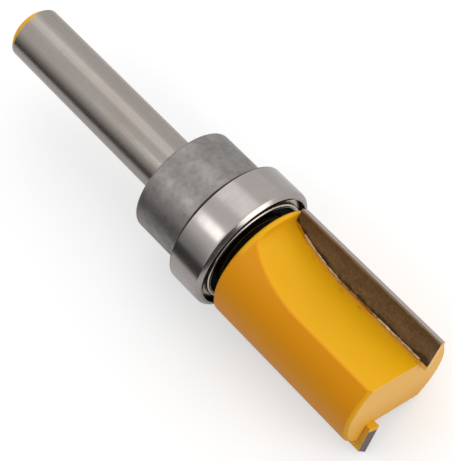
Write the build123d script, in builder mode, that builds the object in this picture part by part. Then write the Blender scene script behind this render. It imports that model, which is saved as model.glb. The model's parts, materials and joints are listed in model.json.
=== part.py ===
from build123d import *
import math
import os

os.makedirs("parts", exist_ok=True)

# Straight pattern router bit with a guide bearing and a stop collar on its shank, lying on a floor.
# Lengths are in millimetres and angles in degrees.
# A station is the distance along the tool's axis from the end of the shank towards the tip.

# Shank
shank_diameter = 8.0
shank_grip_length = 32.0
shank_end_chamfer = 0.5

# Seat for collar and bearing: ground just under the shank's size, past an undercut for the wheel
seat_relief = 0.01
undercut_width = 0.8
undercut_depth = 0.3

# Stop collar with its grub screw
collar_diameter = 16.0
collar_width = 8.2
collar_edge_radius = 0.4
slip_clearance = 0.02
screw_diameter = 4.0
screw_sink = 0.4
screw_clearance = 0.03
screw_socket_flats = 2.0
screw_socket_depth = 1.6
screw_edge_chamfer = 0.4

# Washer that keeps the collar off the turning ring of the bearing
washer_diameter = 10.4
washer_thickness = 0.3

# Guide bearing: rings. A share is a part of the section, which is the radius from shank to rim.
bearing_diameter = 19.0
bearing_width = 5.4
bearing_edge_depth = 0.3
bearing_edge_length = 0.7
inner_ring_chamfer = 0.2
inner_wall_share = 0.264
outer_wall_share = 0.327
seat_wall_share = 0.218

# Guide bearing: balls, cage and rivets
ball_share = 6 / 11
ball_count = 7
ball_clearance = 0.04
cage_thickness = 0.3
cage_inner_share = 0.336
cage_outer_share = 0.609
pocket_clearance = 0.06
rivet_diameter = 0.6
rivet_head_diameter = 0.9
rivet_head_height = 0.2

# Guide bearing: shields
shield_seat_depth = 0.7
shield_setback = 0.2
shield_rim_width = 0.4
shield_dish_depth = 0.3
shield_gap = 0.3
shield_cage_gap = 0.1

# Cutter head, turned in one piece with the shank
hub_diameter = 10.4
hub_height = 2.0
head_diameter = 17.0
head_length = 24.4
head_top_chamfer = 0.3
head_end_chamfer = 0.5
rim_height = 0.8

# Flutes, milled with a disc cutter that leaves its own radius below the rim
flute_floor = 4.4
flute_rise = 2.35
flute_runout_radius = 28.5
flute_corner_radius = 1.2
heel_radius = 0.3

# Blades, brazed into slots behind the flutes. The bead reaches along that share of the run-out.
blade_count = 2
cutting_diameter = 19.0
hook_angle = 12.2
relief_angle = 30.0
end_relief_angle = 9.0
end_hollow_angle = 1.0
blade_thickness = 1.5
blade_seat_floor = 4.0
blade_overhang = 1.05
braze_thickness = 0.08
braze_bead = 0.28
braze_bead_reach = 0.8

# The tool lies on its bearing's rim, one blade's corner and one heel: its tip points down by the
# lie's dip, and it is turned about its own axis so that the first flute faces up
lie_dip = 4.708
lie_roll = 61.309

# Length by which a cutting sketch reaches past the stock
overcut = 3.0

# Run-out of a flute: the arc's length along the axis and its turn
flute_runout_length = math.sqrt(2 * flute_runout_radius * flute_rise - flute_rise**2)
runout_angle = math.degrees(math.asin(flute_runout_length / flute_runout_radius))

# Stations
collar_top = shank_grip_length
collar_bottom = collar_top + collar_width
bearing_top = collar_bottom + washer_thickness
bearing_bottom = bearing_top + bearing_width
bearing_middle = (bearing_top + bearing_bottom) / 2
head_top = bearing_bottom + hub_height
head_end = head_top + head_length
flute_top = head_top + rim_height
runout_start = flute_top + flute_runout_length
tip_end = head_end + blade_overhang

# Radii
shank_radius = shank_diameter / 2
bore_radius = shank_radius + slip_clearance
collar_radius = collar_diameter / 2
screw_radius = screw_diameter / 2
bearing_radius = bearing_diameter / 2
head_radius = head_diameter / 2
cutting_radius = cutting_diameter / 2
bearing_section = bearing_radius - shank_radius
pitch_radius = shank_radius + bearing_section / 2
ball_radius = bearing_section * ball_share / 2
race_radius = ball_radius + ball_clearance
inner_shoulder = shank_radius + bearing_section * inner_wall_share
outer_shoulder = bearing_radius - bearing_section * outer_wall_share
shield_seat = bearing_radius - bearing_section * seat_wall_share
cage_inner = shank_radius + bearing_section * cage_inner_share
cage_outer = shank_radius + bearing_section * cage_outer_share
pocket_radius = ball_radius + pocket_clearance
rivet_radius = rivet_diameter / 2

# Where a blade's cutting edge stands, in a plane across the axis
rake_offset = cutting_radius * math.sin(math.radians(hook_angle))
edge_reach = cutting_radius * math.cos(math.radians(hook_angle))

# The tool's own planes, centred on the floor. Across the axis, x points to the first blade's
# side and z to the tip. Lengthwise, x is the radius and y is the station.
dip = math.radians(lie_dip)
rim_station = bearing_bottom - bearing_edge_length
lie_height = bearing_radius * math.cos(dip) + rim_station * math.sin(dip)
roll = math.radians(lie_roll)
edge_height = edge_reach * math.sin(roll) - rake_offset * math.cos(roll)
rim_drop = edge_height - (shank_radius - shank_end_chamfer)
lie_start = -(tip_end * math.cos(dip) + rim_drop * math.sin(dip)) / 2
tipwards = (math.cos(dip), 0, -math.sin(dip))
lie = Plane(origin=(lie_start, 0, lie_height), x_dir=(0, 1, 0), z_dir=tipwards)
bit = Plane(lie.location * Rotation(0, 0, lie_roll))
lengthwise = Plane(origin=bit.origin, x_dir=bit.x_dir, z_dir=-bit.y_dir)
tool_axis = Axis(bit.origin, bit.z_dir)


def save(piece, name):
    """Label a finished piece and write it as its own STEP file."""
    piece.label = name
    export_step(piece, f"parts/{name}.step")


def across(station, turn=0.0):
    """Plane across the tool's axis at a station, turned about the axis."""
    return Plane(bit.location * Location((0, 0, station), (0, 0, turn)))


# Blades and flutes, in a plane across the axis
blade_turns = [360.0 / blade_count * index for index in range(blade_count)]
back_reach = edge_reach - blade_thickness * math.tan(math.radians(relief_angle))
blade_root = blade_seat_floor + braze_thickness
blade_top = flute_top + braze_thickness
heel_reach = math.sqrt(head_radius**2 - flute_floor**2)


def rake_plane(turn, forward=0.0):
    """Plane of a blade's rake face, x outwards, y along the axis, z back into the blade."""
    face_across = across(0, turn)
    origin = face_across.from_local_coords((0, forward - rake_offset, 0))
    return Plane(origin=origin, x_dir=face_across.x_dir, z_dir=-face_across.y_dir)


def flute_outline(turn):
    """Side outline of a flute: straight floor, run-out arc, rounded corner and rim's ledge."""
    with BuildSketch(rake_plane(turn)) as outline:
        with BuildLine():
            floor = Line((flute_floor, head_end + overcut), (flute_floor, runout_start))
            runout = CenterArc(
                center=(flute_floor + flute_runout_radius, runout_start),
                radius=flute_runout_radius,
                start_angle=180,
                arc_size=runout_angle,
            )
            ledge = Line(runout @ 1, (cutting_diameter, flute_top))
            side = Line(ledge @ 1, (cutting_diameter, head_end + overcut))
            Line(side @ 1, floor @ 0)
        make_face()
        corner = (flute_floor + flute_rise, flute_top)
        fillet(outline.vertices().sort_by_distance(corner)[0], radius=flute_corner_radius)
    return outline.sketch


def slot_outline(plane, inner, top, bottom):
    """Side outline of a slot that opens outwards from its inner edge."""
    with BuildSketch(plane) as outline:
        with BuildLine():
            Polyline(
                (inner, top),
                (cutting_diameter, top),
                (cutting_diameter, bottom),
                (inner, bottom),
                close=True,
            )
        make_face()
    return outline.sketch


# Cutter body: shank, hub and head turned from one bar, then for each blade a flute milled in
# front of its rake face and a seat behind it
with BuildPart() as cutter_body:
    with BuildSketch(lengthwise):
        with BuildLine():
            Polyline(
                (0, 0),
                (shank_radius - shank_end_chamfer, 0),
                (shank_radius, shank_end_chamfer),
                (shank_radius, collar_top),
                (shank_radius - undercut_depth, collar_top + undercut_depth),
                (shank_radius - undercut_depth, collar_top + undercut_width),
                (shank_radius - seat_relief, collar_top + undercut_width),
                (shank_radius - seat_relief, bearing_bottom),
                (hub_diameter / 2, bearing_bottom),
                (hub_diameter / 2, head_top),
                (head_radius - head_top_chamfer, head_top),
                (head_radius, head_top + head_top_chamfer),
                (head_radius, head_end - head_end_chamfer),
                (head_radius - head_end_chamfer, head_end),
                (0, head_end),
                close=True,
            )
        make_face()
    revolve(axis=tool_axis)
    for turn in blade_turns:
        extrude(flute_outline(turn), amount=-cutting_diameter, mode=Mode.SUBTRACT)
        seat_face = rake_plane(turn, braze_thickness)
        seat = slot_outline(seat_face, blade_seat_floor, flute_top, head_end + overcut)
        extrude(seat, amount=blade_thickness + 2 * braze_thickness, mode=Mode.SUBTRACT)
    for turn in blade_turns:
        heel = across(runout_start, turn).from_local_coords((flute_floor, heel_reach, 0))
        heel_edges = edges().sort_by_distance(heel)[:2]
        fillet(heel_edges, radius=heel_radius)
save(cutter_body.part, "cutter_body")

# Carbide blades: square root in the seat, radial relief behind the edge, end relief at the tip
for number, turn in enumerate(blade_turns, start=1):
    with BuildPart() as blade:
        with BuildSketch(across(blade_top, turn)):
            with BuildLine():
                Polyline(
                    (blade_root, -rake_offset),
                    (edge_reach, -rake_offset),
                    (back_reach, -rake_offset - blade_thickness),
                    (blade_root, -rake_offset - blade_thickness),
                    close=True,
                )
            make_face()
        extrude(amount=tip_end - blade_top)
        grind = Location((edge_reach, -rake_offset, 0), (end_relief_angle, -end_hollow_angle, 0))
        split(bisect_by=Plane(across(tip_end, turn).location * grind), keep=Keep.BOTTOM)
    save(blade.part, f"carbide_blade_{number}")

# Braze: a film round each blade's root, with its bead along the foot of the rake face
for number, turn in enumerate(blade_turns, start=1):
    with BuildPart() as braze:
        seat_face = rake_plane(turn, braze_thickness)
        seat = slot_outline(seat_face, blade_seat_floor, flute_top, head_end)
        extrude(seat, amount=blade_thickness + 2 * braze_thickness)
        with BuildSketch(across(flute_top)):
            Circle(head_radius - head_end_chamfer)
        extrude(amount=head_end - flute_top, mode=Mode.INTERSECT)
        extrude(flute_outline(turn), amount=-cutting_diameter, mode=Mode.SUBTRACT)
        blade_side = slot_outline(rake_plane(turn), blade_root, blade_top, head_end + overcut)
        extrude(blade_side, amount=blade_thickness, mode=Mode.SUBTRACT)
        with BuildLine(rake_plane(turn)) as foot:
            Line((flute_floor, head_end), (flute_floor, runout_start))
            CenterArc(
                center=(flute_floor + flute_runout_radius, runout_start),
                radius=flute_runout_radius,
                start_angle=180,
                arc_size=braze_bead_reach * runout_angle,
            )
        with BuildSketch(across(head_end, turn)):
            with BuildLine():
                Polyline(
                    (flute_floor - braze_thickness, -rake_offset),
                    (flute_floor + braze_bead, -rake_offset),
                    (flute_floor, -rake_offset + braze_bead),
                    (flute_floor, -rake_offset + braze_thickness),
                    (flute_floor - braze_thickness, -rake_offset + braze_thickness),
                    close=True,
                )
            make_face()
        sweep(path=foot.line)
    save(braze.part, f"braze_seam_{number}")

# Stop collar, with a cross hole for the screw from its bore out through the wall below
underside = across((collar_top + collar_bottom) / 2, -90 - lie_roll)
below = Plane(origin=underside.origin, x_dir=underside.z_dir, z_dir=underside.x_dir)
with BuildPart() as stop_collar:
    with BuildSketch(across(collar_top)):
        Circle(collar_radius)
    extrude(amount=collar_width)
    outer_edges = stop_collar.edges().filter_by(GeomType.CIRCLE)
    fillet(outer_edges, radius=collar_edge_radius)
    with BuildSketch(across(collar_top)):
        Circle(bore_radius)
    extrude(amount=collar_width, mode=Mode.SUBTRACT)
    with BuildSketch(below):
        Circle(screw_radius + screw_clearance)
    extrude(amount=collar_radius, mode=Mode.SUBTRACT)
save(stop_collar.part, "stop_collar")

# Grub screw: flat point on the shank, hexagon socket in its outer end
with BuildPart() as grub_screw:
    with BuildSketch(below.offset(shank_radius - seat_relief)):
        Circle(screw_radius)
    extrude(amount=collar_radius - screw_sink - shank_radius + seat_relief)
    chamfer(grub_screw.edges().filter_by(GeomType.CIRCLE), length=screw_edge_chamfer)
    with BuildSketch(below.offset(collar_radius - screw_sink)):
        RegularPolygon(radius=screw_socket_flats / 2, side_count=6, major_radius=False)
    extrude(amount=-screw_socket_depth, mode=Mode.SUBTRACT)
save(grub_screw.part, "grub_screw")

# Spacer washer
with BuildPart() as spacer_washer:
    with BuildSketch(across(collar_bottom)):
        Circle(washer_diameter / 2)
        Circle(bore_radius, mode=Mode.SUBTRACT)
    extrude(amount=washer_thickness)
save(spacer_washer.part, "spacer_washer")

# Bearing's inner ring, with its groove for the balls
with BuildPart() as bearing_inner_ring:
    with BuildSketch(lengthwise):
        with Locations(((bore_radius + inner_shoulder) / 2, bearing_middle)):
            Rectangle(inner_shoulder - bore_radius, bearing_width)
        chamfer(vertices(), length=inner_ring_chamfer)
        with Locations((pitch_radius, bearing_middle)):
            Circle(race_radius, mode=Mode.SUBTRACT)
    revolve(axis=tool_axis)
save(bearing_inner_ring.part, "bearing_inner_ring")

# Bearing's outer ring, with its groove and a stepped seat for a shield on each side
seat_step = shield_seat - outer_shoulder
with BuildPart() as bearing_outer_ring:
    with BuildSketch(lengthwise):
        with BuildLine():
            Polyline(
                (outer_shoulder, bearing_top),
                (bearing_radius - bearing_edge_depth, bearing_top),
                (bearing_radius, bearing_top + bearing_edge_length),
                (bearing_radius, bearing_bottom - bearing_edge_length),
                (bearing_radius - bearing_edge_depth, bearing_bottom),
                (outer_shoulder, bearing_bottom),
                close=True,
            )
        make_face()
        with Locations((outer_shoulder, bearing_top), (outer_shoulder, bearing_bottom)):
            Rectangle(2 * seat_step, 2 * shield_seat_depth, mode=Mode.SUBTRACT)
        with Locations((pitch_radius, bearing_middle)):
            Circle(race_radius, mode=Mode.SUBTRACT)
    revolve(axis=tool_axis)
save(bearing_outer_ring.part, "bearing_outer_ring")


def save_shield(face, inward, name):
    """Pressed shield: rim in the outer ring's seat, dished web that stops short of the inner ring."""
    rim_inner = shield_seat - shield_rim_width
    web_inner = inner_shoulder + shield_gap
    rim_front = face + inward * shield_setback
    web_front = face + inward * (shield_seat_depth - shield_dish_depth)
    back = face + inward * shield_seat_depth
    with BuildPart() as shield:
        with BuildSketch(lengthwise):
            with BuildLine():
                Polyline(
                    (shield_seat, back),
                    (shield_seat, rim_front),
                    (rim_inner, rim_front),
                    (rim_inner, web_front),
                    (web_inner, web_front),
                    (web_inner, back),
                    close=True,
                )
            make_face()
        revolve(axis=tool_axis)
    save(shield.part, name)


save_shield(bearing_top, 1, "upper_shield")
save_shield(bearing_bottom, -1, "lower_shield")

# Balls, evenly spaced on the pitch circle
ball_step = 360.0 / ball_count
for number in range(1, ball_count + 1):
    spoke = across(bearing_middle, ball_step * (number - 1))
    centre = spoke.from_local_coords((pitch_radius, 0, 0))
    with BuildPart(Plane(origin=centre, x_dir=bit.x_dir, z_dir=bit.z_dir)) as ball:
        Sphere(ball_radius)
    save(ball.part, f"ball_{number}")


cage_reach = bearing_width / 2 - shield_seat_depth - shield_cage_gap
rivet_circle = (cage_inner + cage_outer) / 2


def save_cage_half(plane, name):
    """Half of the ribbon cage, from its mid plane: a flat ring with a domed pocket for each ball."""
    with BuildPart(plane) as cage_half:
        with BuildSketch(plane):
            Circle(cage_outer)
            Circle(cage_inner, mode=Mode.SUBTRACT)
        extrude(amount=cage_thickness)
        with PolarLocations(pitch_radius, ball_count):
            Sphere(pocket_radius + cage_thickness)
        with BuildSketch(plane):
            Circle(cage_outer)
            Circle(cage_inner, mode=Mode.SUBTRACT)
        extrude(amount=cage_reach, mode=Mode.INTERSECT)
        with PolarLocations(pitch_radius, ball_count):
            Sphere(pocket_radius, mode=Mode.SUBTRACT)
        with PolarLocations(rivet_circle, ball_count, start_angle=ball_step / 2):
            Hole(rivet_radius)
    save(cage_half.part, name)


cage_plane = across(bearing_middle)
shankward = Plane(origin=cage_plane.origin, x_dir=cage_plane.x_dir, z_dir=-cage_plane.z_dir)
save_cage_half(shankward, "cage_upper_half")
save_cage_half(cage_plane, "cage_lower_half")

# Rivets that hold the two cage halves together, headed on both sides
with BuildPart(cage_plane) as cage_rivets:
    with PolarLocations(rivet_circle, ball_count, start_angle=ball_step / 2):
        Cylinder(rivet_radius, 2 * cage_thickness)
    for side in (1, -1):
        with PolarLocations(rivet_circle, ball_count, start_angle=ball_step / 2):
            with Locations((0, 0, side * (cage_thickness + rivet_head_height / 2))):
                Cylinder(rivet_head_diameter / 2, rivet_head_height)
save(cage_rivets.part, "cage_rivets")
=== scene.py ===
import json
import math
import random

import bpy
from mathutils import Matrix, Vector


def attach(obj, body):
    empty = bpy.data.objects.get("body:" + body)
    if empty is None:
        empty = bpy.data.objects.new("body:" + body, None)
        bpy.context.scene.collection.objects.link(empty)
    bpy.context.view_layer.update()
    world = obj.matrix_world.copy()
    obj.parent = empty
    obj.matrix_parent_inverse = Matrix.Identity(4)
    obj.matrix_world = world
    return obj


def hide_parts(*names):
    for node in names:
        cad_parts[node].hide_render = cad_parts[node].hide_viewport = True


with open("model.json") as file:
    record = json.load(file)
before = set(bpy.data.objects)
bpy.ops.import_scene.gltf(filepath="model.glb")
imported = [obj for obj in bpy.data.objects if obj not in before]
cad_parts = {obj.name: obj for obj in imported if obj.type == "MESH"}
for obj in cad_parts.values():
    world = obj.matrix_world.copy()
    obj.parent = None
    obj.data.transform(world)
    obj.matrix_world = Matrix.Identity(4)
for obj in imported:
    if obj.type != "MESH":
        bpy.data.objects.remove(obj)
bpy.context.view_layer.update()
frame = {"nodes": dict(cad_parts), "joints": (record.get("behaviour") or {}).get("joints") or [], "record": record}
bpy.ops.object.select_all(action="DESELECT")

# Lengths on the tool are in millimetres, the frame is in metres
MM = 0.001
PER_METRE = 1000

# Stations along the tool's axis, from the end of the shank
SHANK_CHAMFER = 0.5
BEARING_TOP = 40.5
BEARING_MIDDLE = 43.2
BEARING_END = 45.9
RING_END = 46.28
SHIELD_SEAT = 45.3
FLUTE_TOP = 48.7
RUNOUT_START = 60.033
HEAD_END = 72.3
TIP_END = 73.35

# Radii about the axis
HEAD_RADIUS = 8.5
RING_RADIUS = 9.5
RING_BORE = 8.62
BALL_PITCH = 6.75
GROOVE_RADIUS = 1.54
CURL_PITCH = 7.5
CURL_RADIUS = 0.32

# Each flute: its floor's distance from the plane through the axis, and the arc that it runs out on
FLUTE_FLOOR = 4.4
RUNOUT_RADIUS = 28.5

# Each blade: its two faces, counted across from the plane through the axis, its cutting edge's
# reach, and the fall of its end in degrees, behind the edge and towards the axis
RAKE_OFFSET = 2.0076
BACK_OFFSET = 3.5076
EDGE_REACH = 9.2855
END_RELIEF = 9
END_HOLLOW = 1

# Colours of the lacquer in the flutes, on the turned land (a deeper orange, painted shade), over the
# end face (a paler cream, painted sheen), along each blade's foot (painted shade) and where heat
# changed it, and the dark of the painted shade where collar and bearing meet
FLUTE_GOLD = (0.8, 0.41, 0.003)
SHADED_LAND_GOLD = (0.78, 0.295, 0.0)
END_SHEEN_GOLD = (0.86, 0.475, 0.1)
LOWER_END_SHEEN_GOLD = (0.78, 0.38, 0.03)
FOOT_SHADE_GOLD = (0.3, 0.1, 0.006)
BROWNED_GOLD = (0.5, 0.22, 0.004)
BEAD_GOLD = (0.62, 0.28, 0.003)
JOINT_SHADE = (0.022, 0.014, 0.012)

# The tool's own directions in the frame: along the axis, outwards to the first blade, across
joints = {joint["name"]: joint for joint in frame["joints"]}
middle = Vector(joints["bearing_spin"]["pos_m"])
along = Vector(joints["bearing_spin"]["axis"]).normalized()
outward = (Vector(joints["ball_1_spin"]["pos_m"]) - middle).normalized()
across = along.cross(outward)
shank_end = middle - along * (BEARING_MIDDLE * MM)
tool = Matrix.Translation(shank_end) @ Matrix((outward, across, along)).transposed().to_4x4()

# The photograph's directions: turns about the axis are counted in degrees from the one that
# points to the image's upper right. Here are those of the first blade, and of the side on which
# the lacquer crept furthest over the rim of the shank's end.
FIRST_BLADE_TURN = 46.0
CREPT_TURN = 105.0


def toward(turn, lean=0.0):
    """Direction in the frame at a turn about the tool's axis, leaning towards the tip."""
    angle = math.radians(turn - FIRST_BLADE_TURN)
    radial = outward * math.cos(angle) + across * math.sin(angle)
    return radial * math.cos(math.radians(lean)) + along * math.sin(math.radians(lean))


# ---- camera, fitted to the photograph's outlines ----
# Its directions and its place from the shank's end are given as from_photo takes them
LENS = 129.24
SENSOR = 36.0
CAMERA_RIGHT = (0.70706, -0.27224, 0.65264)
CAMERA_BACK = (0.0, 0.92292, 0.38499)
CAMERA_PLACE = (-0.625, 195.83, 123.14)
photo_basis = (toward(0), toward(90), along)


def from_photo(values):
    """Vector given along the photograph's turn 0, turn 90 and the tool's axis."""
    return sum((basis * value for basis, value in zip(photo_basis, values)), Vector())


camera = bpy.data.objects.new("camera", bpy.data.cameras.new("camera"))
bpy.context.scene.collection.objects.link(camera)
bpy.context.scene.camera = camera
camera.data.lens = LENS
camera.data.sensor_width = SENSOR
camera.data.clip_start = 0.01
camera.data.clip_end = 10.0
right = from_photo(CAMERA_RIGHT).normalized()
forward = from_photo(CAMERA_BACK) * -1
forward = (forward - right * forward.dot(right)).normalized()
up = right.cross(forward)
camera.location = shank_end + from_photo(CAMERA_PLACE) * MM
camera.rotation_mode = "QUATERNION"
camera.rotation_quaternion = Matrix((right, up, -forward)).transposed().to_quaternion()


# ---- nodes of a finish ----
def add(tree, kind, inputs=None, **settings):
    """New node with its settings, and its inputs set to a value or linked from a socket."""
    node = tree.nodes.new(kind)
    for name, value in settings.items():
        setattr(node, name, value)
    for name, value in (inputs or {}).items():
        socket = node.inputs[name]
        if isinstance(value, bpy.types.NodeSocket):
            tree.links.new(value, socket)
        else:
            socket.default_value = value
    return node


def calculate(tree, operation, first, second=0.0, third=0.0, clamp=False):
    """Value of one Math node."""
    terms = {0: first, 1: second, 2: third}
    return add(tree, "ShaderNodeMath", terms, operation=operation, use_clamp=clamp).outputs[0]


def product(tree, first, second):
    """First times second."""
    return calculate(tree, "MULTIPLY", first, second)


def difference(tree, first, second):
    """First less second."""
    return calculate(tree, "SUBTRACT", first, second)


def larger(tree, first, second):
    """The larger of two values."""
    return calculate(tree, "MAXIMUM", first, second)


def fade(tree, value, start, end):
    """0 at start and 1 at end, smoothly between them."""
    terms = {"Value": value, "From Min": start, "From Max": end}
    return add(tree, "ShaderNodeMapRange", terms, interpolation_type="SMOOTHSTEP").outputs["Result"]


def span(tree, value, low, high):
    """A 0 to 1 value spread from low to high."""
    terms = {"Value": value, "To Min": low, "To Max": high}
    return add(tree, "ShaderNodeMapRange", terms).outputs["Result"]


def blend(tree, factor, first, second):
    """Mix of two values."""
    terms = {0: factor, 2: first, 3: second}
    return add(tree, "ShaderNodeMix", terms, data_type="FLOAT").outputs[0]


def tint(tree, factor, first, second):
    """Mix of two colours."""
    node = add(tree, "ShaderNodeMix", data_type="RGBA")
    for index, value in ((0, factor), (6, first), (7, second)):
        if isinstance(value, tuple):
            node.inputs[index].default_value = (*value, 1.0)
        else:
            tree.links.new(value, node.inputs[index])
    return node.outputs[2]


def new_group(name, inputs, outputs):
    """Shader node group with its interface, and its input and output nodes."""
    tree = bpy.data.node_groups.new(name, "ShaderNodeTree")
    for label, kind, value in inputs:
        socket = tree.interface.new_socket(label, in_out="INPUT", socket_type=kind)
        if value is not None:
            socket.default_value = value
    for label, kind in outputs:
        tree.interface.new_socket(label, in_out="OUTPUT", socket_type=kind)
    return tree, tree.nodes.new("NodeGroupInput"), tree.nodes.new("NodeGroupOutput")


def place_group(tree, group, inputs=None):
    """The group as a node of another tree, with its own values."""
    return add(tree, "ShaderNodeGroup", inputs, node_tree=group)


# ---- groups that the finishes share ----
def place_on_tool():
    """Place in millimetres, its parts outwards, across and along the axis, and its radius."""
    outputs = [
        ("Place", "NodeSocketVector"),
        ("Outward", "NodeSocketFloat"),
        ("Across", "NodeSocketFloat"),
        ("Station", "NodeSocketFloat"),
        ("Radius", "NodeSocketFloat"),
    ]
    tree, _, leave = new_group("place on the tool", [], outputs)
    to_tool = tool.inverted()
    moved = {
        "Vector": add(tree, "ShaderNodeTexCoord").outputs["Object"],
        "Location": to_tool.translation * PER_METRE,
        "Rotation": to_tool.to_3x3().to_euler("XYZ"),
        "Scale": (PER_METRE, PER_METRE, PER_METRE),
    }
    place = add(tree, "ShaderNodeMapping", moved, vector_type="POINT").outputs["Vector"]
    split = add(tree, "ShaderNodeSeparateXYZ", {"Vector": place})
    flat = {"X": split.outputs["X"], "Y": split.outputs["Y"]}
    flat = add(tree, "ShaderNodeCombineXYZ", flat).outputs[0]
    length = add(tree, "ShaderNodeVectorMath", {0: flat}, operation="LENGTH")
    tree.links.new(place, leave.inputs["Place"])
    tree.links.new(split.outputs["X"], leave.inputs["Outward"])
    tree.links.new(split.outputs["Y"], leave.inputs["Across"])
    tree.links.new(split.outputs["Z"], leave.inputs["Station"])
    tree.links.new(length.outputs["Value"], leave.inputs["Radius"])
    return tree


def stretched_grain():
    """Grain from 0 to 1, denser or longer along each of the tool's directions."""
    inputs = [
        ("Place", "NodeSocketVector", None),
        ("Density", "NodeSocketVector", (1, 1, 1)),
        ("Contrast", "NodeSocketFloat", 1.0),
    ]
    tree, entry, leave = new_group("stretched grain", inputs, [("Grain", "NodeSocketFloat")])
    terms = {0: entry.outputs["Place"], 1: entry.outputs["Density"]}
    scaled = add(tree, "ShaderNodeVectorMath", terms, operation="MULTIPLY").outputs[0]
    terms = {"Vector": scaled, "Scale": 1.0, "Detail": 5.0, "Roughness": 0.6}
    noise = add(tree, "ShaderNodeTexNoise", terms).outputs["Fac"]
    contrast = entry.outputs["Contrast"]
    centred = difference(tree, noise, 0.5)
    result = calculate(tree, "MULTIPLY_ADD", centred, contrast, 0.5, clamp=True)
    tree.links.new(result, leave.inputs["Grain"])
    return tree


tool_place = place_on_tool()
grain = stretched_grain()


def grained(tree, place, density, contrast=1.0):
    """Grain with a density along each of the tool's directions."""
    values = {"Place": place.outputs["Place"], "Density": density, "Contrast": contrast}
    return place_group(tree, grain, values).outputs["Grain"]


def golden_lacquer():
    """Lacquer, full in the flutes, a deeper orange of painted shade on the turned land, a paler cream of painted
    sheen on the end.
    """
    outputs = [
        ("Colour", "NodeSocketColor"),
        ("Gloss", "NodeSocketFloat"),
        ("Relief", "NodeSocketFloat"),
    ]
    tree, _, leave = new_group("golden lacquer", [], outputs)
    place = place_group(tree, tool_place)
    station = place.outputs["Station"]
    reach = place.outputs["Outward"]
    cloud = grained(tree, place, (0.35, 0.35, 0.12), 1.4)
    peel = grained(tree, place, (1.6, 1.6, 1.6), 1.2)
    land = fade(tree, place.outputs["Radius"], HEAD_RADIUS - 0.25, HEAD_RADIUS - 0.02)
    # The rim above a flute takes the flute's colour, without the land's painted shade
    below_rim = fade(tree, station, FLUTE_TOP - 0.1, FLUTE_TOP + 0.25)
    between_flutes = fade(tree, calculate(tree, "ABSOLUTE", reach), 5.8, 4.6)
    land = product(tree, land, larger(tree, below_rim, between_flutes))
    # The turned land takes a deeper orange: painted shade
    land_shade = calculate(tree, "MULTIPLY_ADD", cloud, 0.25, product(tree, land, 0.9))
    gold = tint(tree, calculate(tree, "MINIMUM", land_shade, 1.0), FLUTE_GOLD, SHADED_LAND_GOLD)
    # The end face takes a paler cream, a painted sheen, less pale towards the second blade's side
    end_face = fade(tree, station, HEAD_END - 0.12, HEAD_END - 0.03)
    end_sheen = tint(tree, fade(tree, reach, -6.0, 1.0), LOWER_END_SHEEN_GOLD, END_SHEEN_GOLD)
    tree.links.new(tint(tree, end_face, gold, end_sheen), leave.inputs["Colour"])
    tree.links.new(span(tree, peel, 0.36, 0.5), leave.inputs["Gloss"])
    tree.links.new(peel, leave.inputs["Relief"])
    return tree


lacquer_coat = golden_lacquer()


# ---- finishes ----
def new_finish(name):
    """Material with its tree, its Principled shader and the place on the tool."""
    material = bpy.data.materials.new(name)
    material.use_nodes = True
    tree = material.node_tree
    return material, tree, tree.nodes["Principled BSDF"], place_group(tree, tool_place)


def emboss(tree, shader, height, depth):
    """Relief of that depth in millimetres."""
    bump = add(tree, "ShaderNodeBump", {"Height": height, "Distance": depth * MM})
    tree.links.new(bump.outputs["Normal"], shader.inputs["Normal"])


def over_floor(tree, place):
    """Millimetres that a point stands further out than the flute's floor at its station."""
    rise = larger(tree, difference(tree, RUNOUT_START, place.outputs["Station"]), 0.0)
    chord = difference(tree, RUNOUT_RADIUS**2, product(tree, rise, rise))
    chord = calculate(tree, "SQRT", chord)
    floor_line = difference(tree, FLUTE_FLOOR + RUNOUT_RADIUS, chord)
    reach = calculate(tree, "ABSOLUTE", place.outputs["Outward"])
    return difference(tree, reach, floor_line)


def bare_steel(name, dark, light, gloss, density, mottle, relief, recess_shade=None, joint=None):
    """Bare steel: colour and gloss vary with cloudy mottling and tool marks, and it may carry painted shade.

    Painted shade in a given colour darkens all of it inside a given outer radius, and the joint gives the two
    stations of a dark line of painted shade.
    """
    material, tree, shader, place = new_finish(name)
    clouds = grained(tree, place, (mottle, mottle, mottle), 2.2)
    marks = grained(tree, place, density, 1.6)
    both = calculate(tree, "MULTIPLY_ADD", marks, 0.45, product(tree, clouds, 0.55))
    colour = tint(tree, both, dark, light)
    rough = span(tree, both, gloss[1], gloss[0])
    # Painted shade inside the outer radius, rougher there too
    if recess_shade:
        outer, shade_colour = recess_shade
        in_recess_shade = fade(tree, place.outputs["Radius"], outer + 0.05, outer)
        colour = tint(tree, in_recess_shade, colour, shade_colour)
        rough = calculate(tree, "MULTIPLY_ADD", in_recess_shade, 0.4, rough)
    # A dark line of painted shade between the two stations
    if joint:
        station = place.outputs["Station"]
        start = fade(tree, station, joint[0] - 0.04, joint[0] + 0.04)
        end = fade(tree, station, joint[1] + 0.04, joint[1] - 0.04)
        colour = tint(tree, product(tree, start, end), colour, JOINT_SHADE)
    tree.links.new(colour, shader.inputs["Base Color"])
    tree.links.new(rough, shader.inputs["Roughness"])
    shader.inputs["Metallic"].default_value = 1.0
    emboss(tree, shader, marks, relief)
    return material


def crept_rim(tree, place):
    """Lacquer that crept over the rim of the shank's end, further on one side."""
    side = math.radians(CREPT_TURN - FIRST_BLADE_TURN)
    leaning = product(tree, place.outputs["Outward"], math.cos(side))
    leaning = calculate(tree, "MULTIPLY_ADD", place.outputs["Across"], math.sin(side), leaning)
    further = product(tree, fade(tree, leaning, 2.0, 3.6), 0.35)
    ragged = grained(tree, place, (1.1, 1.1, 1.1), 1.5)
    reach = calculate(tree, "MULTIPLY_ADD", ragged, 0.3, further)
    reach = calculate(tree, "ADD", reach, SHANK_CHAMFER - 0.15)
    return fade(tree, difference(tree, place.outputs["Station"], reach), 0.06, -0.06)


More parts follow.
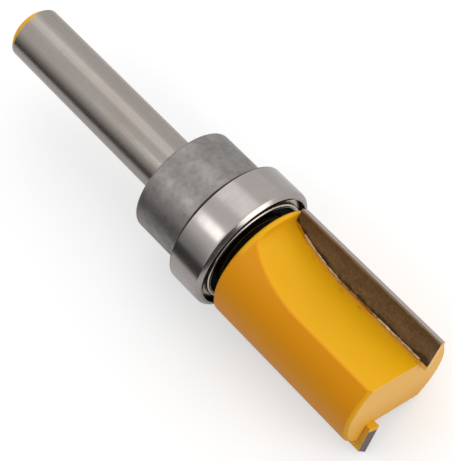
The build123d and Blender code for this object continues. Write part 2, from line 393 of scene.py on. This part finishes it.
def shaded_foot(tree, place):
    """Ragged painted shade on the lacquer along the foot of each blade."""
    station = place.outputs["Station"]
    half = calculate(tree, "SIGN", place.outputs["Outward"])
    foot = calculate(tree, "MULTIPLY_ADD", place.outputs["Across"], half, RAKE_OFFSET)
    width = span(tree, grained(tree, place, (0.6, 0.6, 0.4), 3.2), -0.4, 0.8)
    foot_shade = fade(tree, difference(tree, foot, width), 0.2, -0.25)
    in_flute = fade(tree, place.outputs["Radius"], HEAD_RADIUS - 0.15, HEAD_RADIUS - 0.4)
    below_rim = fade(tree, station, FLUTE_TOP + 3.0, FLUTE_TOP + 6.0)
    in_front = fade(tree, foot, -0.3, -0.1)
    above_end = fade(tree, station, HEAD_END - 0.08, HEAD_END - 0.25)
    for limit in (in_flute, below_rim, in_front, above_end):
        foot_shade = product(tree, foot_shade, limit)
    return product(tree, foot_shade, 0.5)


def lacquered_body():
    """Golden head and hub, ground shank, a painted rim at the shank's end, and painted shade in the gap below the
    bearing.
    """
    material, tree, shader, place = new_finish("golden lacquer and ground shank")
    station = place.outputs["Station"]
    coat = place_group(tree, lacquer_coat)
    # Ground steel with grinding rings and streaks along the shank
    rings = grained(tree, place, (0.5, 0.5, 9.0), 1.8)
    streaks = grained(tree, place, (2.4, 2.4, 0.03), 1.6)
    warm = grained(tree, place, (0.3, 0.3, 0.15), 2.0)
    marks = calculate(tree, "MULTIPLY_ADD", rings, 0.3, product(tree, streaks, 0.7))
    steel = tint(tree, marks, (0.29, 0.265, 0.25), (0.44, 0.41, 0.39))
    steel = tint(tree, product(tree, warm, 0.5), steel, (0.34, 0.28, 0.23))
    head = fade(tree, station, BEARING_END - 0.1, BEARING_END + 0.1)
    painted = larger(tree, head, crept_rim(tree, place))
    # Painted shade along the foot of each blade
    golden = tint(tree, shaded_foot(tree, place), coat.outputs["Colour"], FOOT_SHADE_GOLD)
    # Painted shade, nearly black and rougher, on the hub and upper face in the gap below the bearing
    gap = fade(tree, station, FLUTE_TOP - 0.62, FLUTE_TOP - 0.78)
    gap_shade = product(tree, gap, fade(tree, place.outputs["Radius"], 8.32, 8.1))
    gap_shade = product(tree, gap_shade, head)
    golden = tint(tree, gap_shade, golden, (0.016, 0.008, 0.003))
    tree.links.new(tint(tree, painted, steel, golden), shader.inputs["Base Color"])
    tree.links.new(difference(tree, 1.0, painted), shader.inputs["Metallic"])
    gloss = blend(tree, painted, span(tree, marks, 0.33, 0.22), coat.outputs["Gloss"])
    gloss = calculate(tree, "MULTIPLY_ADD", gap_shade, 0.5, gloss, clamp=True)
    tree.links.new(gloss, shader.inputs["Roughness"])
    shader.inputs["Specular IOR Level"].default_value = 0.2
    steel_relief = product(tree, rings, 0.3)
    height = calculate(tree, "MULTIPLY_ADD", coat.outputs["Relief"], painted, steel_relief)
    emboss(tree, shader, height, 0.012)
    return material


def rake_face(tree, place, reach, height):
    """Dark, speckled carbide with a honed strip at the edge and flux above the braze."""
    cloud = grained(tree, place, (0.5, 0.5, 0.25), 1.8)
    specks = grained(tree, place, (3.2, 3.2, 3.2), 4.2)
    colour = tint(tree, cloud, (0.1, 0.072, 0.05), (0.185, 0.145, 0.115))
    light_specks = product(tree, fade(tree, specks, 0.78, 1.0), 0.4)
    colour = tint(tree, light_specks, colour, (0.3, 0.235, 0.16))
    dark_specks = product(tree, fade(tree, specks, 0.2, 0.0), 0.5)
    colour = tint(tree, dark_specks, colour, (0.05, 0.035, 0.028))
    outer_half = product(tree, fade(tree, reach, 6.6, 8.7), 0.45)
    colour = tint(tree, outer_half, colour, (0.06, 0.038, 0.024))
    ragged = span(tree, grained(tree, place, (0.6, 0.6, 0.35), 2.5), 8.84, 9.0)
    honed = fade(tree, difference(tree, reach, ragged), -0.04, 0.1)
    colour = tint(tree, honed, colour, (0.26, 0.23, 0.205))
    ragged = span(tree, grained(tree, place, (0.8, 0.8, 0.5), 3.0), 0.5, 1.5)
    flux = fade(tree, difference(tree, height, ragged), 0.18, -0.12)
    return tint(tree, product(tree, flux, 0.85), colour, (0.03, 0.021, 0.02))


def ground_carbide():
    """Dark rake face, lighter ground land, and lacquer on the back, the end and the foot."""
    material, tree, shader, place = new_finish("ground carbide")
    station = place.outputs["Station"]
    side = calculate(tree, "ABSOLUTE", place.outputs["Across"])
    reach = calculate(tree, "ABSOLUTE", place.outputs["Outward"])
    height = over_floor(tree, place)
    lines = grained(tree, place, (0.6, 3.0, 0.15), 1.4)
    # The end face falls behind the cutting edge and, hollow, towards the axis
    relief = product(tree, difference(tree, side, RAKE_OFFSET), math.tan(math.radians(END_RELIEF)))
    hollow = product(tree, difference(tree, EDGE_REACH, reach), math.tan(math.radians(END_HOLLOW)))
    end_level = difference(tree, difference(tree, TIP_END, relief), hollow)
    at_end = fade(tree, difference(tree, station, end_level), -0.06, -0.02)
    land = tint(tree, lines, (0.27, 0.225, 0.195), (0.42, 0.365, 0.325))
    land = tint(tree, product(tree, at_end, 0.8), land, (0.085, 0.065, 0.07))
    ground = fade(tree, side, RAKE_OFFSET + 0.015, RAKE_OFFSET + 0.045)
    bare = tint(tree, ground, rake_face(tree, place, reach, height), land)
    # Lacquer: all of the back, the first blade's end, the second one's inner end, and the corner
    # of each that stands past the head
    back = fade(tree, side, BACK_OFFSET - 0.05, BACK_OFFSET - 0.02)
    first = fade(tree, place.outputs["Outward"], -1.0, 1.0)
    inner = fade(tree, difference(tree, reach, span(tree, first, 4.6, 9.1)), 0.05, -0.05)
    coated_end = product(tree, product(tree, at_end, inner), ground)
    foot = fade(tree, reach, 4.2, 4.13)
    past_head = fade(tree, station, HEAD_END - 0.1, HEAD_END)
    corner = product(tree, fade(tree, reach, 4.85, 4.7), past_head)
    # Lacquer that crept over the foot of the rake face, browned by the heat
    edge = span(tree, grained(tree, place, (0.9, 0.9, 0.6), 3.0), 0.2, 0.66)
    crept = fade(tree, difference(tree, height, edge), 0.05, -0.05)
    crept = product(tree, crept, fade(tree, station, HEAD_END - 0.1, HEAD_END - 0.3))
    painted = back
    for patch in (coated_end, foot, corner, crept):
        painted = larger(tree, painted, patch)
    coat = place_group(tree, lacquer_coat)
    gold = tint(tree, product(tree, coated_end, first), FLUTE_GOLD, coat.outputs["Colour"])
    gold = tint(tree, product(tree, crept, 0.7), gold, BROWNED_GOLD)
    # The first blade's corner past the head takes the end's paler cream, a painted sheen
    gold = tint(tree, product(tree, corner, first), gold, END_SHEEN_GOLD)
    tree.links.new(tint(tree, painted, bare, gold), shader.inputs["Base Color"])
    tree.links.new(span(tree, painted, 0.5, 0.0), shader.inputs["Metallic"])
    gloss = blend(tree, painted, span(tree, lines, 0.32, 0.44), coat.outputs["Gloss"])
    tree.links.new(gloss, shader.inputs["Roughness"])
    emboss(tree, shader, lines, 0.006)
    return material


def silver_braze():
    """Lumpy braze, bright on its crests, browned amid the blade, its inner side lacquered."""
    material, tree, shader, place = new_finish("silver braze")
    station = place.outputs["Station"]
    lumps = grained(tree, place, (1.8, 1.8, 1.0), 2.6)
    patches = difference(tree, grained(tree, place, (0.6, 0.6, 0.3), 3.5), 0.45)
    amid = product(tree, fade(tree, station, 56.5, 58.5), fade(tree, station, 65.0, 63.5))
    browned = calculate(tree, "MULTIPLY_ADD", amid, 0.75, patches, clamp=True)
    colour = tint(tree, lumps, (0.36, 0.21, 0.09), (0.9, 0.76, 0.5))
    colour = tint(tree, browned, colour, (0.3, 0.11, 0.01))
    covered = fade(tree, over_floor(tree, place), 0.3, 0.24)
    tree.links.new(tint(tree, covered, colour, BEAD_GOLD), shader.inputs["Base Color"])
    tree.links.new(span(tree, lumps, 0.55, 0.36), shader.inputs["Roughness"])
    tree.links.new(span(tree, covered, 0.6, 0.0), shader.inputs["Metallic"])
    shader.inputs["Specular IOR Level"].default_value = 0.2
    emboss(tree, shader, lumps, 0.05)
    return material


finishes = {
    "painted_body": lacquered_body(),
    "carbide": ground_carbide(),
    "braze": silver_braze(),
    "collar_steel": bare_steel(
        "blasted collar steel",
        dark=(0.16, 0.147, 0.14),
        light=(0.39, 0.365, 0.35),
        gloss=(0.36, 0.5),
        density=(1.6, 1.6, 1.6),
        mottle=0.42,
        relief=0.012,
        # Painted shade along the collar's lower edge, where it meets the bearing
        joint=(39.9, 40.4),
    ),
    "screw_steel": bare_steel(
        "blackened screw steel",
        dark=(0.02, 0.02, 0.02),
        light=(0.06, 0.06, 0.06),
        gloss=(0.35, 0.5),
        density=(2, 2, 2),
        mottle=0.8,
        relief=0.01,
    ),
    "washer_steel": bare_steel(
        "rolled washer steel",
        dark=(0.04, 0.035, 0.03),
        light=(0.1, 0.09, 0.08),
        gloss=(0.35, 0.5),
        density=(2, 2, 2),
        mottle=0.8,
        relief=0.005,
    ),
    "bearing_steel": bare_steel(
        "ground bearing steel",
        dark=(0.37, 0.335, 0.32),
        light=(0.46, 0.425, 0.405),
        gloss=(0.18, 0.25),
        density=(0.12, 0.12, 14.0),
        mottle=0.35,
        relief=0.002,
        # Painted shade on all of this steel inside the ring's bore
        recess_shade=(RING_BORE + 0.02, (0.02, 0.014, 0.01)),
        # Painted shade along the ring's upper edge, where it meets the collar
        joint=(40.3, 40.86),
    ),
    "shield_steel": bare_steel(
        "pressed shield steel",
        dark=(0.5, 0.46, 0.4),
        light=(0.68, 0.63, 0.55),
        gloss=(0.2, 0.3),
        density=(3, 3, 3),
        mottle=0.4,
        relief=0.002,
        # Painted shade over the shield's web, inside its curl
        recess_shade=(CURL_PITCH - CURL_RADIUS + 0.02, (0.012, 0.008, 0.005)),
    ),
    "ball_steel": bare_steel(
        "polished ball steel",
        dark=(0.62, 0.62, 0.62),
        light=(0.74, 0.74, 0.74),
        gloss=(0.05, 0.1),
        density=(3, 3, 3),
        mottle=0.6,
        relief=0.0005,
    ),
    "cage_steel": bare_steel(
        "pressed cage steel",
        dark=(0.4, 0.38, 0.35),
        light=(0.6, 0.57, 0.53),
        gloss=(0.25, 0.4),
        density=(3, 3, 3),
        mottle=0.8,
        relief=0.004,
    ),
}
slots = {part["node"]: part["material_slot"] for part in frame["record"]["subparts"]}
for name, node in frame["nodes"].items():
    node.data.materials.clear()
    node.data.materials.append(finishes[slots[name]])


# ---- bearing's outer ring and lower shield, turned round the tool's axis ----
# Corners round a ring, and how near to a place an edge has to lie to be picked
CIRCLE_STEPS = 160
SAME_PLACE = 0.01


def pick_rounds(mesh, places):
    """Selects the circles of edges at these radii and stations."""
    bpy.ops.mesh.select_mode(type="EDGE")
    bpy.ops.mesh.select_all(action="DESELECT")
    bpy.ops.object.mode_set(mode="OBJECT")
    for edge in mesh.edges:
        ends = [mesh.vertices[index].co / MM for index in edge.vertices]
        for radius, station in places:
            gaps = [math.hypot(math.hypot(*end.xy) - radius, end.z - station) for end in ends]
            if max(gaps) < SAME_PLACE:
                edge.select = True
    bpy.ops.object.mode_set(mode="EDIT")


def turned(name, profile, rounds):
    """Ring pulled out of a circle through its closed profile, its sharp corners broken."""
    radius, station = profile[0]
    start = (0, 0, station * MM)
    bpy.ops.mesh.primitive_circle_add(vertices=CIRCLE_STEPS, radius=radius * MM, location=start)
    piece = bpy.context.object
    piece.name = name
    bpy.ops.object.transform_apply(location=True)
    bpy.ops.object.mode_set(mode="EDIT")
    bpy.ops.mesh.select_all(action="SELECT")
    for next_radius, next_station in [*profile[1:], profile[0]]:
        step = (0, 0, (next_station - station) * MM)
        bpy.ops.mesh.extrude_edges_move(TRANSFORM_OT_translate={"value": step})
        growth = next_radius / radius
        bpy.ops.transform.resize(value=(growth, growth, 1))
        radius, station = next_radius, next_station
    bpy.ops.mesh.select_all(action="SELECT")
    bpy.ops.mesh.remove_doubles(threshold=0.001 * MM)
    bpy.ops.mesh.normals_make_consistent(inside=False)
    for width, places in rounds:
        pick_rounds(piece.data, places)
        bpy.ops.mesh.bevel(offset=width * MM, segments=4, profile=0.5)
    bpy.ops.object.mode_set(mode="OBJECT")
    bpy.ops.object.shade_smooth_by_angle(angle=math.radians(28))
    piece.matrix_world = tool
    bpy.ops.object.transform_apply(location=True, rotation=True, scale=True)
    return piece


def dress(piece, material_slot, body, node=None):
    """Finish, body and CAD node of a new piece."""
    piece.data.materials.clear()
    piece.data.materials.append(finishes[material_slot])
    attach(piece, body)
    if node:
        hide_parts(node)


def arc(pitch, station, radius, first, last, step):
    """Profile points on an arc about that pitch and station, from angle to angle in degrees."""
    angles = [math.radians(turn) for turn in range(first, last + 1, step)]
    return [
        (pitch + radius * math.cos(angle), station + radius * math.sin(angle)) for angle in angles
    ]


face_edge = (8.95, RING_END)
lower_corner = (9.455, 45.77)
upper_corner = (RING_RADIUS, 40.78)
upper_edge = (9.22, BEARING_TOP)
ring_profile = [
    (RING_BORE, RING_END),
    face_edge,
    lower_corner,
    (RING_RADIUS, 45.2),
    upper_corner,
    upper_edge,
    (8.3, BEARING_TOP),
    (8.3, 41.2),
    (7.7, 41.2),
    *arc(BALL_PITCH, BEARING_MIDDLE, GROOVE_RADIUS, -50, 50, 10),
    (7.7, 45.2),
    (RING_BORE, 45.2),
]
ring_rounds = [(0.07, [lower_corner]), (0.04, [face_edge, upper_corner, upper_edge])]
outer_ring = turned("bearing_ring", ring_profile, ring_rounds)
dress(outer_ring, "bearing_steel", "outer_race", "bearing_outer_ring")

# The shield's curled rim stands up flush with the ring's face, past a dark groove
groove_corner = (8.52, 45.55)
shield_profile = [
    (8.52, SHIELD_SEAT),
    groove_corner,
    (7.84, 45.58),
    *arc(CURL_PITCH, 45.95, CURL_RADIUS, -20, 200, 20),
    (7.2, 45.62),
    (5.75, 45.52),
    (5.75, 45.36),
    (8.3, 45.42),
    (8.3, SHIELD_SEAT),
]
shield = turned("shield_below", shield_profile, [(0.06, [groove_corner])])
dress(shield, "shield_steel", "outer_race", "lower_shield")

# ---- braze that ran out in lumps along the foot of each blade ----
# A drop's radius, the stations of the run, and its height over the flute's floor
DROP_RADIUS = 0.22
BRAZE_START = 51.4
BRAZE_END = HEAD_END - 0.8
BRAZE_HEIGHT = 0.52


def floor_reach(station):
    """Distance of a flute's floor from the plane through the axis."""
    rise = max(RUNOUT_START - station, 0.0)
    return FLUTE_FLOOR + RUNOUT_RADIUS - math.sqrt(RUNOUT_RADIUS**2 - rise**2)


bpy.ops.mesh.primitive_ico_sphere_add(subdivisions=3, radius=DROP_RADIUS * MM)
drop = bpy.context.object
bpy.ops.object.mode_set(mode="EDIT")
bpy.ops.mesh.select_all(action="SELECT")
bpy.ops.transform.resize(value=(0.8, 1.0, 2.4))
bpy.ops.transform.vertex_random(offset=0.02 * MM, seed=3)
bpy.ops.mesh.vertices_smooth(factor=0.5, repeat=2)
bpy.ops.object.mode_set(mode="OBJECT")

shaker = random.Random(5)
for number, blade_turn in ((1, 0.0), (2, 180.0)):
    turn = Matrix.Rotation(math.radians(blade_turn), 4, "Z")
    copies = []
    station = BRAZE_START
    while station < BRAZE_END:
        reach = floor_reach(station) + BRAZE_HEIGHT
        tilt = math.atan(floor_reach(station - 0.5) - floor_reach(station + 0.5))
        spot = Vector((reach, shaker.uniform(0.0, 0.04) - RAKE_OFFSET, station))
        size = shaker.uniform(0.55, 1.0)
        stretch = Matrix.Diagonal((size, size, shaker.uniform(0.9, 2.0), 1.0))
        lean = Matrix.Rotation(-tilt, 4, "Y") @ Matrix.Rotation(shaker.uniform(0, 6.28), 4, "Z")
        lump = bpy.data.objects.new("lump", drop.data.copy())
        bpy.context.scene.collection.objects.link(lump)
        lump.data.transform(tool @ turn @ Matrix.Translation(spot * MM) @ lean @ stretch)
        copies.append(lump)
        station += shaker.uniform(0.4, 1.5)
    bpy.ops.object.select_all(action="DESELECT")
    for lump in copies:
        lump.select_set(True)
    bpy.context.view_layer.objects.active = copies[0]
    bpy.ops.object.join()
    bead = bpy.context.object
    bead.name = f"braze_run_{number}"
    knit = bead.modifiers.new("knit", "REMESH")
    knit.mode = "VOXEL"
    knit.voxel_size = 0.05 * MM
    bpy.ops.object.modifier_apply(modifier="knit")
    soften = bead.modifiers.new("soften", "SMOOTH")
    soften.iterations = 4
    bpy.ops.object.modifier_apply(modifier="soften")
    bpy.ops.object.shade_smooth()
    dress(bead, "braze", "cutter")
bpy.data.objects.remove(drop)

# ---- floor: pale, with a glow of its own that differs for the camera and for reflections ----
FLOOR_SIZE = 3.0
FLOOR_DROP = 0.02
GLOW_SEEN = 0.46
GLOW_MIRRORED = 0.2
bpy.ops.object.select_all(action="DESELECT")
bpy.ops.mesh.primitive_plane_add(size=FLOOR_SIZE, location=(0, 0, -FLOOR_DROP * MM))
floor = bpy.context.object
floor.name = "floor"
floor_finish = bpy.data.materials.new("pale floor")
floor_finish.use_nodes = True
tree = floor_finish.node_tree
shader = tree.nodes["Principled BSDF"]
shader.inputs["Base Color"].default_value = (0.6, 0.6, 0.6, 1)
shader.inputs["Roughness"].default_value = 0.9
shader.inputs["Emission Color"].default_value = (1, 1, 1, 1)
ray = add(tree, "ShaderNodeLightPath")
seen = product(tree, ray.outputs["Is Camera Ray"], GLOW_SEEN)
mirrored = product(tree, ray.outputs["Is Glossy Ray"], GLOW_MIRRORED)
glow = calculate(tree, "ADD", seen, mirrored)
tree.links.new(glow, shader.inputs["Emission Strength"])
floor.data.materials.append(floor_finish)

# ---- sky: white to the camera, and otherwise pale with darker parts on the left ----
SKY_LEVEL = 0.9
DARKEST_LEVEL = 0.08
world = bpy.data.worlds.new("studio")
bpy.context.scene.world = world
world.use_nodes = True
tree = world.node_tree
background = tree.nodes["Background"]
background.inputs["Color"].default_value = (1, 1, 1, 1)
ray = add(tree, "ShaderNodeLightPath")
heading = add(tree, "ShaderNodeTexCoord").outputs["Generated"]


def facing(direction):
    """1 where the sky lies in that direction, down to -1 on its other side."""
    terms = {0: heading, 1: direction}
    return add(tree, "ShaderNodeVectorMath", terms, operation="DOT_PRODUCT").outputs["Value"]


def dimmed(centre, outer, inner):
    """1 inside a round part of the sky, falling to 0 between two angles from its centre."""
    rims = [math.cos(math.radians(angle)) for angle in (outer, inner)]
    return fade(tree, facing(centre), *rims)


left_side = product(tree, dimmed(toward(178, -22), 46, 12), 0.72)
tip_side = product(tree, dimmed(toward(140, 62), 45, 22), ray.outputs["Is Glossy Ray"])
fall = fade(tree, facing(toward(165)), -0.2, 0.9)
fall = product(tree, product(tree, fall, ray.outputs["Is Diffuse Ray"]), 0.8)
dark = larger(tree, larger(tree, left_side, tip_side), fall)
shade = span(tree, dark, SKY_LEVEL, DARKEST_LEVEL)
level = blend(tree, ray.outputs["Is Camera Ray"], shade, 1.0)
tree.links.new(level, background.inputs["Strength"])


# ---- lamps ----
def softbox(name, turn, lean, distance, width, height, power, mirrored=True):
    """Soft lamp that faces the middle of the bearing, in metres and watts."""
    light = bpy.data.lights.new(name, "AREA")
    light.shape = "RECTANGLE"
    light.size = width
    light.size_y = height
    light.energy = power
    holder = bpy.data.objects.new(name, light)
    bpy.context.scene.collection.objects.link(holder)
    direction = toward(turn, lean)
    sideways = along.cross(direction).normalized()
    lengthways = direction.cross(sideways)
    holder.location = middle + direction * distance
    holder.rotation_mode = "QUATERNION"
    basis = Matrix((sideways, lengthways, direction)).transposed()
    holder.rotation_quaternion = basis.to_quaternion()
    holder.visible_glossy = mirrored


# The left softbox is small and near, so that it shows in the bearing and hardly in the shank. The
# two fills light the colours and show in no reflection.
softbox("right softbox", 52, -22, 0.5, 0.3, 0.5, 0.235)
softbox("left softbox", 110, -18, 0.14, 0.04, 0.045, 0.0115)
softbox("left fill", 110, -22, 0.5, 0.15, 0.5, 0.27, mirrored=False)
softbox("tip softbox", 27, 58, 0.5, 0.38, 0.26, 0.62)
softbox("end fill", 70, 62, 0.5, 0.4, 0.4, 0.12, mirrored=False)

# ---- dark card on the left, low on the floor, seen only as the dark side of the bright metal ----
# Its size, its middle's height over the floor, its distance from the bearing, and its shift
# towards the shank
CARD_LENGTH = 160
CARD_HEIGHT = 15.5
CARD_MIDDLE = 7.8
CARD_DISTANCE = 34
CARD_SHIFT = 12
bpy.ops.object.select_all(action="DESELECT")
bpy.ops.mesh.primitive_plane_add(size=1.0)
card = bpy.context.object
card.name = "dark_card"
upright = Vector((0, 0, 1))
lengthways = Vector((along.x, along.y, 0)).normalized()
left = toward(166)
left = Vector((left.x, left.y, 0)).normalized()
spot = left * CARD_DISTANCE - lengthways * CARD_SHIFT + upright * CARD_MIDDLE
card.matrix_world = (
    Matrix.Translation(Vector((middle.x, middle.y, 0)) + spot * MM)
    @ Matrix((lengthways, upright, lengthways.cross(upright))).transposed().to_4x4()
    @ Matrix.Diagonal((CARD_LENGTH * MM, CARD_HEIGHT * MM, 1, 1))
)
card_finish = bpy.data.materials.new("dark card")
card_finish.use_nodes = True
shader = card_finish.node_tree.nodes["Principled BSDF"]
shader.inputs["Base Color"].default_value = (0.05, 0.05, 0.05, 1)
shader.inputs["Roughness"].default_value = 0.9
card.data.materials.append(card_finish)
for ray_kind in ("camera", "diffuse", "transmission", "shadow", "volume_scatter"):
    setattr(card, f"visible_{ray_kind}", False)

# ---- finish ----
bpy.context.scene.view_settings.view_transform = "Standard"
